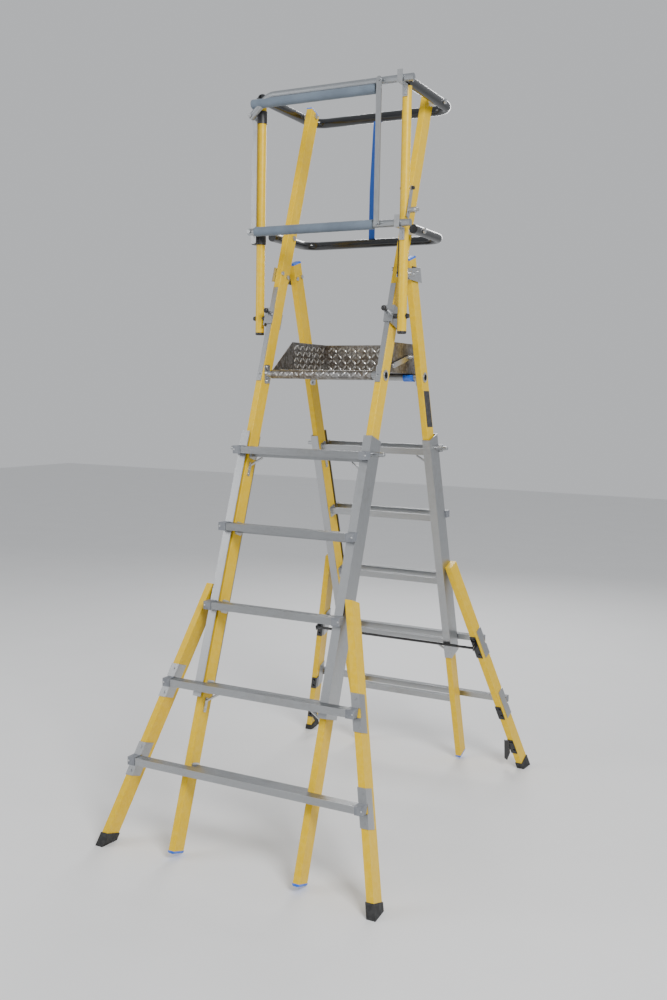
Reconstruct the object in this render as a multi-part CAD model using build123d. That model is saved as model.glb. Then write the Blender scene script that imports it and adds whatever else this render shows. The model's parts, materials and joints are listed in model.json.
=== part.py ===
from build123d import *
import os
from math import cos, radians, sin, tan

os.makedirs("parts", exist_ok=True)

# ---------------------------------------------------------------- driving dimensions (mm)
LEAN = radians(18.2)            # both frames lean inwards by this much
HALF_SPREAD = 778.6             # a frame's outward face meets the ground this far from the centre
SIN_LEAN, COS_LEAN = sin(LEAN), cos(LEAN)

STILE_X = (239.4, 264.7)        # inner and outer face of a stile
STILE_DEPTH = 61.5
STILE_WALL = 3.0
STILE_END = {"front": (36.0, 2936.0), "rear": (36.0, 2280.0)}

CHANNEL_X = (240.0, 273.0)      # lips to outer face of the sliding channel
CHANNEL_DEPTH = (-17.0, 66.0)
CHANNEL_WALL = 3.5
CHANNEL_END = {"front": (574.0, 1571.0), "rear": (552.0, 1561.0)}

LEG_FACE = {"front": -22.0, "rear": -22.0}
LEG_DEPTH = 65.6
LEG_WIDTH = 26.0
LEG_FOOT_X, LEG_TOP_X = 556.5, 299.5    # outer edge at the ground and at the top
LEG_TOP = 982.0
SOLE = 6.0                      # rubber under a leg's end
BOOT_WALL = 3.0

RUNG_PITCH = 294.7              # along the stiles: 280 mm of height
FIRST_RUNG = 318.6
TREAD_HALF = (475.0, 390.0, 280.0, 280.0, 280.0)    # tread 1 is the lowest
TREAD_SIZE = 26.0
TREAD_WALL = 2.2
CAP_LENGTH = 20.0
RUNG_DEPTH = 30.0               # an inner rung's middle, behind the outward face
FLANGE = 3.0

TUBE_R = 14.0                   # platform tubes
FRONT_TUBE = (-186.7, 1713.0)
REAR_TUBE = (179.1, 1713.0)
RUNNING = 0.05                  # radial clearance of a running fit

PLATE = 3.0
DECK_HALF = 213.0
DECK_REAR = 238.0
DECK_TOP = FRONT_TUBE[1] + TUBE_R + RUNNING + PLATE
TOE_TOP = DECK_TOP + 113.0
TOE_SLOPE_Y = (-186.7, -40.0)
STAY_DECK = (-16.0, 1754.0)     # stay link's pin on the toe board
STAY_STILE = (139.6, 1792.0)    # stay link's pin on the rear stile
STAY_X = (218.0, 222.0)
STAY_R = 10.0
STAY_PIN_R = 4.0

HINGE_Z = 2097.0
HINGE_R = 22.0
HINGE_PIN_R = 6.0
HINGE_FRONT_X = (264.7, 268.7)
HINGE_REAR_X = (269.0, 273.0)

RAIL_X = 304.0                  # posts and hoop arms
POST_R, POST_WALL = 17.0, 2.5
POST_Y = -137.0
POST_Z = (1875.0, 2743.0)
TOP_R, MID_R = 19.0, 17.0
TOP_Z, MID_Z = 2764.0, 2254.0
TOP_REAR, MID_REAR = 280.0, 234.0
MID_FRONT = -54.0
TOP_PIVOT_Y, MID_PIVOT_Y = 166.8, 2.8
HOOP_BEND = 60.0
HOOP_PIN_R = 6.0
TONGUE = 6.0                    # flat tongue of a post in the hoop's slotted end
TONGUE_R = 11.0
SLOT = 6.6
POST_PIN_R = 5.0
SADDLE_PIVOT = (-137.0, 1929.5)

SADDLE_A = (2008.0, 2072.0)     # along the stile
SADDLE_WALL = 5.0
SADDLE_SIDE_GAP = 4.8            # clears the platform tube, which stands 4 mm out of the stile
STRIP_A = (1777.0, 2160.0)
STRIP_X = (242.0, 262.0)
STRIP_DEPTH = 3.0
PLUNGER = (250.0, 2046.0)       # across and along the stile
PLUNGER_R = 4.0
PLUNGER_TRAVEL_A = 244.0        # saddle travel to the lower hole
KNOB_R = 10.0

GATE_Y = -184.5
GATE_R, FOAM_R = 13.0, 18.0
GATE_LEFT, GATE_RIGHT = -320.0, 345.0
GATE_LOW_Z, GATE_TOP_Z, GATE_TOP_PIVOT_Z = 2256.0, 2759.0, 2690.0
GATE_BEND_X = -245.0
LINK_LOW = (225.0, 2256.0)
LINK_TOP = (225.0, 2759.0)
FOAM_END = 205.0
GATE_PIN_R = 4.0
BAR_Y = (-165.5, -160.5)
HOOK_WIDTH = 20.0
HOOK_WALL = 3.0

LATCH_PIVOT = (-124.5, 2388.0)
LATCH_END = (-152.0, 2284.0)
LATCH_ROLLER = (-148.0, 2305.0)
LATCH_X = (323.0, 327.0)

LOCK_A = 1508.0                 # lock pins, along the stile
LOCK_DEPTH = 8.0
LOCK_PIN_R = 5.0

FRONT = Plane(origin=(0, -HALF_SPREAD, 0), x_dir=(1, 0, 0), z_dir=(0, SIN_LEAN, COS_LEAN))


# ---------------------------------------------------------------- helpers
def block(x, y, z):
    """A box from three (low, high) pairs."""
    return Solid.make_box(x[1] - x[0], y[1] - y[0], z[1] - z[0], Plane((x[0], y[0], z[0])))


def prism(points, start, end, axis):
    """An outline in the two other axes, drawn out from start to end along X, Y or Z."""
    place = {
        "x": lambda u, v: (start, u, v),
        "y": lambda u, v: (u, start, v),
        "z": lambda u, v: (u, v, start),
    }[axis]
    way = {"x": (1, 0, 0), "y": (0, 1, 0), "z": (0, 0, 1)}[axis]
    outline = Wire.make_polygon([place(u, v) for u, v in points], close=True)
    return Solid.extrude(Face(outline), Vector(*way) * (end - start))


def rod(start, end, radius):
    """A round bar between two points."""
    run = Vector(*end) - Vector(*start)
    return Solid.make_cylinder(radius, run.length, Plane(origin=start, z_dir=run))


def disc(centre, x, radius):
    """A round bar along X about a (y, z) centre, from x[0] to x[1]."""
    return rod((x[0], *centre), (x[1], *centre), radius)


def cut(body, *tools):
    """What is left of body."""
    return body.cut(*tools).solids()[0]


def join(*solids):
    """Touching solids made one."""
    return solids[0].fuse(*solids[1:]).solids()[0]


def hollow_rod(start, end, radius, wall):
    """A straight tube."""
    return cut(rod(start, end, radius), rod(start, end, radius - wall))


def pair(solids):
    """Right-hand solids and their left-hand mirror images."""
    return list(solids) + [s.mirror(Plane.YZ) for s in solids]


def leaned(solids, side):
    """Solids drawn in a stile's own frame (X, depth, length), put in place at the front or rear."""
    placed = [s.moved(FRONT.location) for s in solids]
    return placed if side == "front" else [s.mirror(Plane.XZ) for s in placed]


def stile_frame(y, z):
    """Depth and length in the front stile's frame of a world (y, z)."""
    back = y + HALF_SPREAD
    return back * COS_LEAN - z * SIN_LEAN, back * SIN_LEAN + z * COS_LEAN


def world(depth, length):
    """World (y, z) of a depth and length in the front stile's frame."""
    return (length * SIN_LEAN + depth * COS_LEAN - HALF_SPREAD, length * COS_LEAN - depth * SIN_LEAN)


def rounded(solid, radius, axis):
    """Rounds the edges that run along an axis."""
    return solid.fillet(radius, solid.edges().filter_by(axis))


def save(name, solids):
    """Writes one node's STEP."""
    export_step(Compound(children=list(solids), label=name), f"parts/{name}.step")


def fastener(start, end, shank, head, head_length):
    """A bolt or rivet with a head at each end, as one solid."""
    run = (Vector(*end) - Vector(*start)).normalized()
    low = tuple(Vector(*start) - run * head_length)
    high = tuple(Vector(*end) + run * head_length)
    return join(rod(start, end, shank), rod(low, start, head), rod(end, high, head))


# ---------------------------------------------------------------- rungs and treads
def ribbed_section(size, groove, count):
    """Top and front of a tread's outline with fine grooves, as (forward, up) steps from its rear foot."""
    rake = tan(LEAN) * size
    step = size / (2 * count + 1)
    front = [(-size, size - n * step) for n in range(2 * count + 2)]
    grooved = []
    for n in range(2 * count + 1):
        inset = groove if n % 2 else 0.0
        grooved.append((front[n][0] + inset, front[n][1]))
        grooved.append((front[n + 1][0] + inset, front[n + 1][1]))
    top_run = size + rake
    top_step = top_run / (2 * count + 1)
    top = []
    for n in range(2 * count + 1):
        drop = groove if n % 2 else 0.0
        top.append((rake - n * top_step, size - drop))
        top.append((rake - (n + 1) * top_step, size - drop))
    return [(0.0, 0.0)] + top + grooved[1:]


def tread_centre(number, depth):
    """World (y, z) of a tread's or rung's middle."""
    return world(depth, FIRST_RUNG + number * RUNG_PITCH)


def tread_bar(back_y, low_z, half, size=TREAD_SIZE):
    """A ribbed hollow tread, level on top, its back leaning with the frame."""
    outline = ribbed_section(size, 0.7, 5)
    points = [(back_y + u, low_z + v) for u, v in outline]
    bar = prism(points, -half, half, "x")
    rake = tan(LEAN) * size
    inner = [
        (back_y + rake * 0.1 - TREAD_WALL, low_z + TREAD_WALL),
        (back_y + rake * 0.9 - TREAD_WALL, low_z + size - TREAD_WALL - 0.7),
        (back_y - size + TREAD_WALL + 0.7, low_z + size - TREAD_WALL - 0.7),
        (back_y - size + TREAD_WALL + 0.7, low_z + TREAD_WALL),
    ]
    return cut(bar, prism(inner, -half - 1, half + 1, "x"))


def tread_face(number, side):
    """Depth of the face that a tread is fixed to: the legs low down, the channels above."""
    return LEG_FACE[side] if number < 2 else CHANNEL_DEPTH[0]


def tread_origin(number, side):
    """World (y, z) of the lower back edge of a tread, as if at the front."""
    face = tread_face(number, side)
    middle = FIRST_RUNG + number * RUNG_PITCH
    y, z = world(face, middle)
    return y - tan(LEAN) * TREAD_SIZE / 2, z - TREAD_SIZE / 2


def treads(side):
    """The five outer treads."""
    bars = []
    for number, half in enumerate(TREAD_HALF):
        y, z = tread_origin(number, side)
        bars.append(tread_bar(y, z, half - CAP_LENGTH))
    return bars if side == "front" else [b.mirror(Plane.XZ) for b in bars]


def tread_caps(side):
    """Moulded caps on the treads' ends."""
    caps = []
    margin = 2.0
    for number, half in enumerate(TREAD_HALF):
        y, z = tread_origin(number, side)
        rake = tan(LEAN) * TREAD_SIZE
        outline = [
            (y - tan(LEAN) * margin, z - margin),
            (y + rake + tan(LEAN) * margin, z + TREAD_SIZE + margin),
            (y - TREAD_SIZE - margin, z + TREAD_SIZE + margin),
            (y - TREAD_SIZE - margin, z - margin),
        ]
        cap = prism(outline, half - CAP_LENGTH - 12, half, "x")
        outer = cap.faces().sort_by(Axis.X)[-1]
        cap = cap.fillet(3.0, outer.edges())
        core = [(y + u, z + v) for u, v in ((0, 0), (rake, TREAD_SIZE), (-TREAD_SIZE, TREAD_SIZE), (-TREAD_SIZE, 0))]
        cap = cut(cap, prism(core, half - CAP_LENGTH - 13, half - CAP_LENGTH, "x"))
        caps.append(cap)
    if side == "rear":
        caps = [c.mirror(Plane.XZ) for c in caps]
    return pair(caps)


def inner_rungs(side):
    """The five rungs between the inner stiles."""
    bars = []
    for number in range(len(TREAD_HALF)):
        y, z = tread_centre(number, RUNG_DEPTH)
        bars.append(tread_bar(y + TREAD_SIZE / 2 - 4, z - TREAD_SIZE / 2, STILE_X[0] - FLANGE))
    return bars if side == "front" else [b.mirror(Plane.XZ) for b in bars]


# ---------------------------------------------------------------- stiles
def hinge_bolt_places(side):
    """Hinge bolts as (depth, length) in the stile's frame."""
    front = ((-78.7, 2108.0), (-41.3, 2096.0))
    rear = ((-71.5, 2111.0), (-36.2, 2098.5))
    return [stile_frame(y, z) for y, z in (front if side == "front" else rear)]


def hinge_bolts(side):
    """Bolts that hold the hinge plates, in the stile's frame."""
    outer = HINGE_FRONT_X[1] if side == "front" else HINGE_REAR_X[1]
    return [fastener((STILE_X[0], b, a), (outer, b, a), 4.0, 8.0, 5.0) for b, a in hinge_bolt_places(side)]


def rail_bolts():
    """Bolts that carry the two hoops, through the front stile, in world places."""
    bolts = []
    for y, z, r in ((TOP_PIVOT_Y, TOP_Z, TOP_R), (MID_PIVOT_Y, MID_Z, MID_R)):
        bolts.append(fastener((STILE_X[0], y, z), (RAIL_X + r + 1.5, y, z), HOOP_PIN_R, 10.0, 6.0))
    return bolts


def rail_spacers():
    """Nylon spacers between stile and hoop."""
    spacers = []
    for y, z, r in ((TOP_PIVOT_Y, TOP_Z, TOP_R), (MID_PIVOT_Y, MID_Z, MID_R)):
        ring = disc((y, z), (STILE_X[1], RAIL_X - r - 0.5), 12.0)
        spacers.append(cut(ring, disc((y, z), (STILE_X[1] - 1, RAIL_X), HOOP_PIN_R)))
    return spacers


def stay_pin():
    """Pin on the rear stile for the stay link, with its shoulder, in world place."""
    pin = disc(STAY_STILE, (STAY_X[0] - 3, STILE_X[0]), STAY_PIN_R)
    shoulder = disc(STAY_STILE, (STAY_X[1] + 0.3, STILE_X[0]), 8.0)
    nut = disc(STAY_STILE, (STAY_X[0] - 4, STAY_X[0] - 0.5), 7.0)
    return join(pin, shoulder, nut)


def stile(side):
    """A hollow glass-fibre box stile on the right, drilled for its bolts and its platform tube."""
    low, high = STILE_END[side]
    body = rounded(block(STILE_X, (0, STILE_DEPTH), (low, high)), 2.5, Axis.Z)
    bore = block(
        (STILE_X[0] + STILE_WALL, STILE_X[1] - STILE_WALL),
        (STILE_WALL, STILE_DEPTH - STILE_WALL),
        (low - 1, high + 1),
    )
    body = cut(body, bore)
    for b, a in hinge_bolt_places(side):
        body = cut(body, rod((STILE_X[0] - 1, b, a), (STILE_X[1] + 1, b, a), 4.0))
    placed = leaned([body], side)[0]
    tube = FRONT_TUBE if side == "front" else REAR_TUBE
    placed = cut(placed, disc(tube, (STILE_X[0] - 1, STILE_X[1] + 1), TUBE_R))
    if side == "front":
        for y, z in ((TOP_PIVOT_Y, TOP_Z), (MID_PIVOT_Y, MID_Z)):
            placed = cut(placed, disc((y, z), (STILE_X[0] - 1, STILE_X[1] + 1), HOOP_PIN_R))
    return placed


def stile_caps(side):
    """Moulded plugs in both ends of the stiles."""
    low, high = STILE_END[side]
    plug_x = (STILE_X[0] + STILE_WALL + 0.2, STILE_X[1] - STILE_WALL - 0.2)
    plug_y = (STILE_WALL + 0.2, STILE_DEPTH - STILE_WALL - 0.2)
    foot = block(STILE_X, (0, STILE_DEPTH), (low - 10, low))
    foot = foot.fillet(6.0, foot.faces().sort_by(Axis.Z)[0].edges())
    head = block(STILE_X, (0, STILE_DEPTH), (high, high + 8))
    head = head.fillet(5.0, head.faces().sort_by(Axis.Z)[-1].edges())
    foot = join(foot, block(plug_x, plug_y, (low, low + 20)))
    head = join(head, block(plug_x, plug_y, (high - 20, high)))
    if side == "front":
        b, a = stile_frame(TOP_PIVOT_Y, TOP_Z)
        head = cut(head, rod((STILE_X[0] - 1, b, a), (STILE_X[1] + 1, b, a), HOOP_PIN_R))
    return leaned(pair([foot, head]), side)


def platform_tube(side):
    """Round tube under the deck, through both stiles."""
    centre = FRONT_TUBE if side == "front" else REAR_TUBE
    end = STILE_X[1] + 4
    return [hollow_rod((-end, *centre), (end, *centre), TUBE_R, 2.5)]


def tube_rings(side):
    """Rings outside and flange plates inside the stiles at the platform tube."""
    centre = FRONT_TUBE if side == "front" else REAR_TUBE
    hole = disc(centre, (STILE_X[0] - 9, STILE_X[1] + 9), TUBE_R)
    ring = cut(disc(centre, (STILE_X[1], STILE_X[1] + FLANGE), 20.0), hole)
    y, z = centre
    plate = block((STILE_X[0] - FLANGE, STILE_X[0]), (y - 19, y + 19), (z - 36, z + 36))
    plate = cut(rounded(plate, 8.0, Axis.X), hole)
    bolts = []
    for up in (-27.0, 27.0):
        bolts.append(rod((STILE_X[0] - FLANGE - 4, y, z + up), (STILE_X[0] - FLANGE, y, z + up), 6.0))
    return pair([ring, plate] + bolts)


def rung_flanges(side):
    """Plates that hold the inner rungs to the stiles, each with two rivet heads."""
    plates = []
    for number in range(len(TREAD_HALF)):
        middle = FIRST_RUNG + number * RUNG_PITCH
        plate = block((STILE_X[0] - FLANGE, STILE_X[0]), (8, 54), (middle - 24, middle + 24))
        plates.append(rounded(plate, 8.0, Axis.X))
    return leaned(pair(plates), side)


def rung_braces(side):
    """Flattened-end rods that brace the lowest but one and the top rung."""
    braces = []
    for number in (1, 4):
        middle = FIRST_RUNG + number * RUNG_PITCH
        foot = block((STILE_X[0] - FLANGE, STILE_X[0]), (18, 34), (middle - 92, middle - 40))
        lower = (STILE_X[0] - 4.5, 26, middle - 48)
        upper = (STILE_X[0] - 50, 26, middle - 19.5)
        stem = join(foot, rod(lower, upper, 4.5))
        rivets = [rod((STILE_X[0] - 5.5, 26, middle - s), (STILE_X[0] - FLANGE, 26, middle - s), 4.5) for s in (66, 83)]
        braces += [join(stem, *rivets)]
    return leaned(pair(braces), side)


# ---------------------------------------------------------------- sliding outer sections
def channel(side):
    """C-shaped aluminium channel that wraps the right-hand stile and slides along it."""
    low, high = CHANNEL_END[side]
    body = block(CHANNEL_X, CHANNEL_DEPTH, (low, high))
    hollow = block(
        (CHANNEL_X[0] - 1, CHANNEL_X[1] - CHANNEL_WALL),
        (CHANNEL_DEPTH[0] + CHANNEL_WALL, CHANNEL_DEPTH[1] - CHANNEL_WALL),
        (low - 1, high + 1),
    )
    lock = rod((CHANNEL_X[1] - 9, LOCK_DEPTH, LOCK_A), (CHANNEL_X[1] + 9, LOCK_DEPTH, LOCK_A), LOCK_PIN_R + RUNNING)
    return leaned([cut(body, hollow, lock)], side)[0]


def leg_edge(length):
    """Outer edge of a flared leg at a length along the frame."""
    return LEG_FOOT_X + (LEG_TOP_X - LEG_FOOT_X) * length / LEG_TOP


def leg_prism(side, low, high, grow=0.0):
    """A stretch of the right-hand leg, grown all round when asked, in the stile's frame."""
    face = LEG_FACE[side]
    outline = [
        (leg_edge(low) - LEG_WIDTH - grow, low),
        (leg_edge(low) + grow, low),
        (leg_edge(high) + grow, high),
        (leg_edge(high) - LEG_WIDTH - grow, high),
    ]
    return prism(outline, face - grow, face + LEG_DEPTH + grow, "y")


def above(height):
    """Everything above a level, as a big block in the world frame."""
    reach = 3000.0
    return block((-reach, reach), (-reach, reach), (height, height + reach))


def leg(side):
    """Flared glass-fibre leg on the right, cut level above the sole."""
    body = leaned([leg_prism(side, -60.0, LEG_TOP)], side)[0]
    return body.intersect(above(SOLE)).solids()[0]


def feet(side):
    """Rubber boots under the legs."""
    boot = leaned([leg_prism(side, -60.0, 42.0, BOOT_WALL)], side)[0]
    boot = boot.intersect(above(0.0)).solids()[0]
    return pair([cut(boot, leg(side))])


def tread_saddles(side):
    """Folded plates that clamp treads 1 and 2 to the legs, with their rivet heads."""
    plates = []
    for number in (0, 1):
        middle = FIRST_RUNG + number * RUNG_PITCH
        wrap = leg_prism(side, middle - 62, middle + 62, 2.5)
        wrap = cut(wrap, leg_prism(side, middle - 70, middle + 70))
        face = LEG_FACE[side]
        rear_cut = block((0, 900), (face + LEG_DEPTH - 20, face + LEG_DEPTH + 30), (middle - 90, middle + 90))
        wrap = cut(wrap, rear_cut)
        placed = leaned([wrap], side)[0]
        y, z = tread_origin(number, side)
        margin = 2.0
        rake = tan(LEAN) * TREAD_SIZE
        seat = prism(
            [
                (y + 6, z - margin),
                (y + rake + 6, z + TREAD_SIZE + margin),
                (y - 40, z + TREAD_SIZE + margin),
                (y - 40, z - margin),
            ],
            0,
            900,
            "x",
        )
        if side == "rear":
            seat = seat.mirror(Plane.XZ)
        pieces = placed.cut(seat).solids()
        for up in (-45.0, 45.0):
            x = leg_edge(middle + up) - LEG_WIDTH / 2
            head = rod((x, face - 5.0, middle + up), (x, face - 2.5, middle + up), 5.0)
            pieces += leaned([head], side)
        plates += pieces
    return pair(plates)


def lock_housings(side):
    """Barrels on the channels that hold the spring pins."""
    start = (CHANNEL_X[1], LOCK_DEPTH, LOCK_A)
    end = (CHANNEL_X[1] + 27, LOCK_DEPTH, LOCK_A)
    barrel = cut(rod(start, end, 10.0), rod((250, LOCK_DEPTH, LOCK_A), (330, LOCK_DEPTH, LOCK_A), LOCK_PIN_R + RUNNING))
    return leaned(pair([barrel]), side)


def lock_handle(side):
    """Spring pin with its grip on the right."""
    pin = rod((STILE_X[1] + 1.2, LOCK_DEPTH, LOCK_A), (CHANNEL_X[1] + 30, LOCK_DEPTH, LOCK_A), LOCK_PIN_R)
    grip = rod((CHANNEL_X[1] + 27.6, LOCK_DEPTH, LOCK_A), (CHANNEL_X[1] + 50, LOCK_DEPTH, LOCK_A), 8.0)
    grip = grip.fillet(3.0, grip.faces().sort_by(Axis.X)[-1].edges())
    return leaned([join(pin, grip)], side)[0]


def leg_brackets():
    """Folded steel brackets on the rear legs' forward faces, with their bolt heads."""
    pieces = []
    face = LEG_FACE["rear"] + LEG_DEPTH
    for low, high in ((560.0, 660.0), (262.0, 322.0), (92.0, 158.0)):
        outline = [
            (leg_edge(low) - LEG_WIDTH - 3.0, low),
            (leg_edge(low) - 2.0, low),
            (leg_edge(high) - 2.0, high),
            (leg_edge(high) - LEG_WIDTH - 3.0, high),
        ]
        plate = prism(outline, face, face + 3.0, "y")
        fold = prism(
            [
                (leg_edge(low) - LEG_WIDTH - 3.0, low),
                (leg_edge(low) - LEG_WIDTH, low),
                (leg_edge(high) - LEG_WIDTH, high),
                (leg_edge(high) - LEG_WIDTH - 3.0, high),
            ],
            face - 18.0,
            face + 3.0,
            "y",
        )
        heads = []
        for length in (low + 14.0, high - 14.0):
            x = leg_edge(length) - LEG_WIDTH / 2
            heads.append(rod((x, face + 3.0, length), (x, face + 7.0, length), 6.0))
        pieces.append(join(plate, fold, *heads))
    arm_x = leg_edge(120.0) - LEG_WIDTH - 3.0
    arm = prism(
        [(arm_x - 26, 60), (arm_x - 14, 52), (arm_x + 2, 92), (arm_x + 2, 158), (arm_x - 20, 158)],
        face + 3.0,
        face + 7.0,
        "y",
    )
    pieces.append(arm)
    return leaned(pair(pieces), "rear")


def tie_rod():
    """Rod between the rear legs, ahead of the channels, on a lug of each upper bracket."""
    depth = CHANNEL_DEPTH[1] + 8.0
    length = 624.0
    face = LEG_FACE["rear"] + LEG_DEPTH + 3.0
    reach = leg_edge(length) - LEG_WIDTH / 2
    bar = rod((-reach, depth, length), (reach, depth, length), 6.0)
    lug = block((reach, reach + 4), (face, depth + 9), (length - 10, length + 10))
    return leaned([bar] + pair([lug]), "rear")


# ---------------------------------------------------------------- hinge
def hinge_outline(x):
    """Front hinge plate between two X values, its nose round the pivot."""
    flat = prism([(-111, 2074), (-92, 2131), (0, 2117), (0, 2076)], x[0], x[1], "x")
    return join(flat, disc((0, HINGE_Z), x, HINGE_R))


def hinge_plate(side):
    """Drilled hinge plate."""
    if side == "front":
        plate = cut(hinge_outline(HINGE_FRONT_X), disc((0, HINGE_Z), (250, 290), HINGE_PIN_R + RUNNING))
    else:
        plate = hinge_outline(HINGE_REAR_X).mirror(Plane.XZ)
        plate = cut(plate, disc((0, HINGE_Z), (250, 290), HINGE_PIN_R))
    for b, a in hinge_bolt_places(side):
        hole = leaned([rod((STILE_X[1] - 1, b, a), (HINGE_REAR_X[1] + 1, b, a), 4.0)], side)[0]
        plate = cut(plate, hole)
    return plate


def hinge_packer():
    """Plastic packer that brings the rear plate out beside the front one."""
    outline = [(28, 2076), (30, 2129), (92, 2129), (109, 2076)]
    plate = prism(outline, STILE_X[1], HINGE_REAR_X[0], "x")
    for b, a in hinge_bolt_places("rear"):
        plate = cut(plate, leaned([rod((STILE_X[1] - 1, b, a), (HINGE_REAR_X[1], b, a), 4.0)], "rear")[0])
    return plate


def hinge_pin():
    """Pin through both plates, fixed in the rear one."""
    shank = disc((0, HINGE_Z), (260, HINGE_REAR_X[1]), HINGE_PIN_R)
    head = disc((0, HINGE_Z), (HINGE_REAR_X[1], 280), 11.0)
    nut = disc((0, HINGE_Z), (256, 262), 10.0)
    return join(shank, head, nut)


# ---------------------------------------------------------------- platform
def deck_plate():
    """Chequer-plate deck whose nosing wraps the front tube."""
    outer = disc(FRONT_TUBE, (-DECK_HALF, DECK_HALF), TUBE_R + RUNNING + PLATE)
    bore = disc(FRONT_TUBE, (-DECK_HALF - 1, DECK_HALF + 1), TUBE_R + RUNNING)
    y, z = FRONT_TUBE
    gap = block((-DECK_HALF - 1, DECK_HALF + 1), (y, y + 30), (z - 9, DECK_TOP - PLATE))
    nosing = cut(outer, gap, bore)
    sheet = block((-DECK_HALF, DECK_HALF), (y, DECK_REAR), (DECK_TOP - PLATE, DECK_TOP))
    return [join(nosing, cut(sheet, bore))]


def toe_boards():
    """Kick boards on three sides of the deck."""
    outline = [
        (TOE_SLOPE_Y[0], DECK_TOP),
        (TOE_SLOPE_Y[1], TOE_TOP),
        (DECK_REAR, TOE_TOP),
        (DECK_REAR, DECK_TOP),
    ]
    side = prism(outline, DECK_HALF - PLATE, DECK_HALF, "x")
    inner = DECK_HALF - PLATE
    rear = block((-inner, inner), (DECK_REAR - PLATE, DECK_REAR), (DECK_TOP, TOE_TOP))
    return pair([side]) + [rear]


def stay_link():
    """Flat link that holds the deck level, with its toe-board bolt."""
    run = Vector(0, *STAY_STILE) - Vector(0, *STAY_DECK)
    across = Vector(0, -run.Z, run.Y).normalized() * STAY_R
    corners = []
    for centre, sign in ((STAY_DECK, 1), (STAY_STILE, 1), (STAY_STILE, -1), (STAY_DECK, -1)):
        corners.append((centre[0] + sign * across.Y, centre[1] + sign * across.Z))
    bar = join(prism(corners, *STAY_X, "x"), disc(STAY_DECK, STAY_X, STAY_R), disc(STAY_STILE, STAY_X, STAY_R))
    bar = cut(bar, disc(STAY_STILE, (STAY_X[0] - 1, STAY_X[1] + 1), STAY_PIN_R + RUNNING))
    bolt = disc(STAY_DECK, (DECK_HALF + 0.6, STAY_X[0]), 6.0)
    head = disc(STAY_DECK, (STAY_X[1], STAY_X[1] + 4), 7.0)
    return join(bar, bolt, head)


def deck_clip():
    """Snap clip on the rear tube that the deck sits in."""
    x = (178.0, 221.0)
    ring = disc(REAR_TUBE, x, TUBE_R + 4)
    y, z = REAR_TUBE
    top = block((x[0] - 1, x[1] + 1), (y - 30, y + 30), (z + 9, z + 30))
    return [cut(ring, disc(REAR_TUBE, (x[0] - 1, x[1] + 1), TUBE_R), top)]


# ---------------------------------------------------------------- guard rail
def hoop(front, rear, level, radius, wall):
    """U-shaped tube, open to the front."""
    bend = HOOP_BEND
    path = Wire([
        Edge.make_line((-RAIL_X, front, level), (-RAIL_X, rear - bend, level)),
        Edge.make_three_point_arc(
            (-RAIL_X, rear - bend, level),
            (-RAIL_X + bend * (1 - cos(radians(45))), rear - bend * (1 - sin(radians(45))), level),
            (-RAIL_X + bend, rear, level),
        ),
        Edge.make_line((-RAIL_X + bend, rear, level), (RAIL_X - bend, rear, level)),
        Edge.make_three_point_arc(
            (RAIL_X - bend, rear, level),
            (RAIL_X - bend * (1 - cos(radians(45))), rear - bend * (1 - sin(radians(45))), level),
            (RAIL_X, rear - bend, level),
        ),
        Edge.make_line((RAIL_X, rear - bend, level), (RAIL_X, front, level)),
    ])
    start = Plane(origin=(-RAIL_X, front, level), z_dir=(0, 1, 0))
    outer = sweep(start * Circle(radius), path=path).solids()[0]
    inner = sweep(start * Circle(radius - wall), path=path).solids()[0]
    return cut(outer, inner)


def top_hoop():
    """Upper hoop: its slotted noses take the posts' tongues."""
    body = hoop(POST_Y + 22, TOP_REAR, TOP_Z, TOP_R, 2.5)
    for side in (-1, 1):
        x = side * RAIL_X
        nose = join(
            rod((x, POST_Y, TOP_Z), (x, POST_Y + 22, TOP_Z), TOP_R),
            Solid.make_sphere(TOP_R, Plane((x, POST_Y, TOP_Z))),
        )
        slot = block((x - SLOT / 2, x + SLOT / 2), (POST_Y - 30, POST_Y + 15), (TOP_Z - 30, TOP_Z + TONGUE_R + 1))
        bore = disc((POST_Y, TOP_Z), (x - 30, x + 30), POST_PIN_R)
        body = join(body, cut(nose, slot, bore))
        body = cut(body, disc((TOP_PIVOT_Y, TOP_Z), (x - 30, x + 30), HOOP_PIN_R + RUNNING))
    return body


def mid_hoop():
    """Middle hoop, plugged at its front ends."""
    body = hoop(MID_FRONT, MID_REAR, MID_Z, MID_R, 2.5)
    for side in (-1, 1):
        x = side * RAIL_X
        body = cut(body, disc((MID_PIVOT_Y, MID_Z), (x - 30, x + 30), HOOP_PIN_R + RUNNING))
    return body


def mid_plugs():
    """Plugs in the middle hoop's front ends."""
    plug = rod((RAIL_X, MID_FRONT, MID_Z), (RAIL_X, MID_FRONT + 12, MID_Z), MID_R - 2.5)
    return pair([plug])


def post_pins():
    """Bolts through the top hoop's slotted noses."""
    pin = disc((POST_Y, TOP_Z), (RAIL_X - TOP_R, RAIL_X + TOP_R), POST_PIN_R)
    heads = [disc((POST_Y, TOP_Z), (RAIL_X - TOP_R - 4, RAIL_X - TOP_R), 8.0),
             disc((POST_Y, TOP_Z), (RAIL_X + TOP_R, RAIL_X + TOP_R + 4), 8.0)]
    return pair([join(pin, *heads)])


def post():
    """Round glass-fibre post on the right, drilled for its foot bolt."""
    body = hollow_rod((RAIL_X, POST_Y, POST_Z[0]), (RAIL_X, POST_Y, POST_Z[1]), POST_R, POST_WALL)
    return cut(body, disc(SADDLE_PIVOT, (RAIL_X - 30, RAIL_X + 30), POST_PIN_R))


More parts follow.
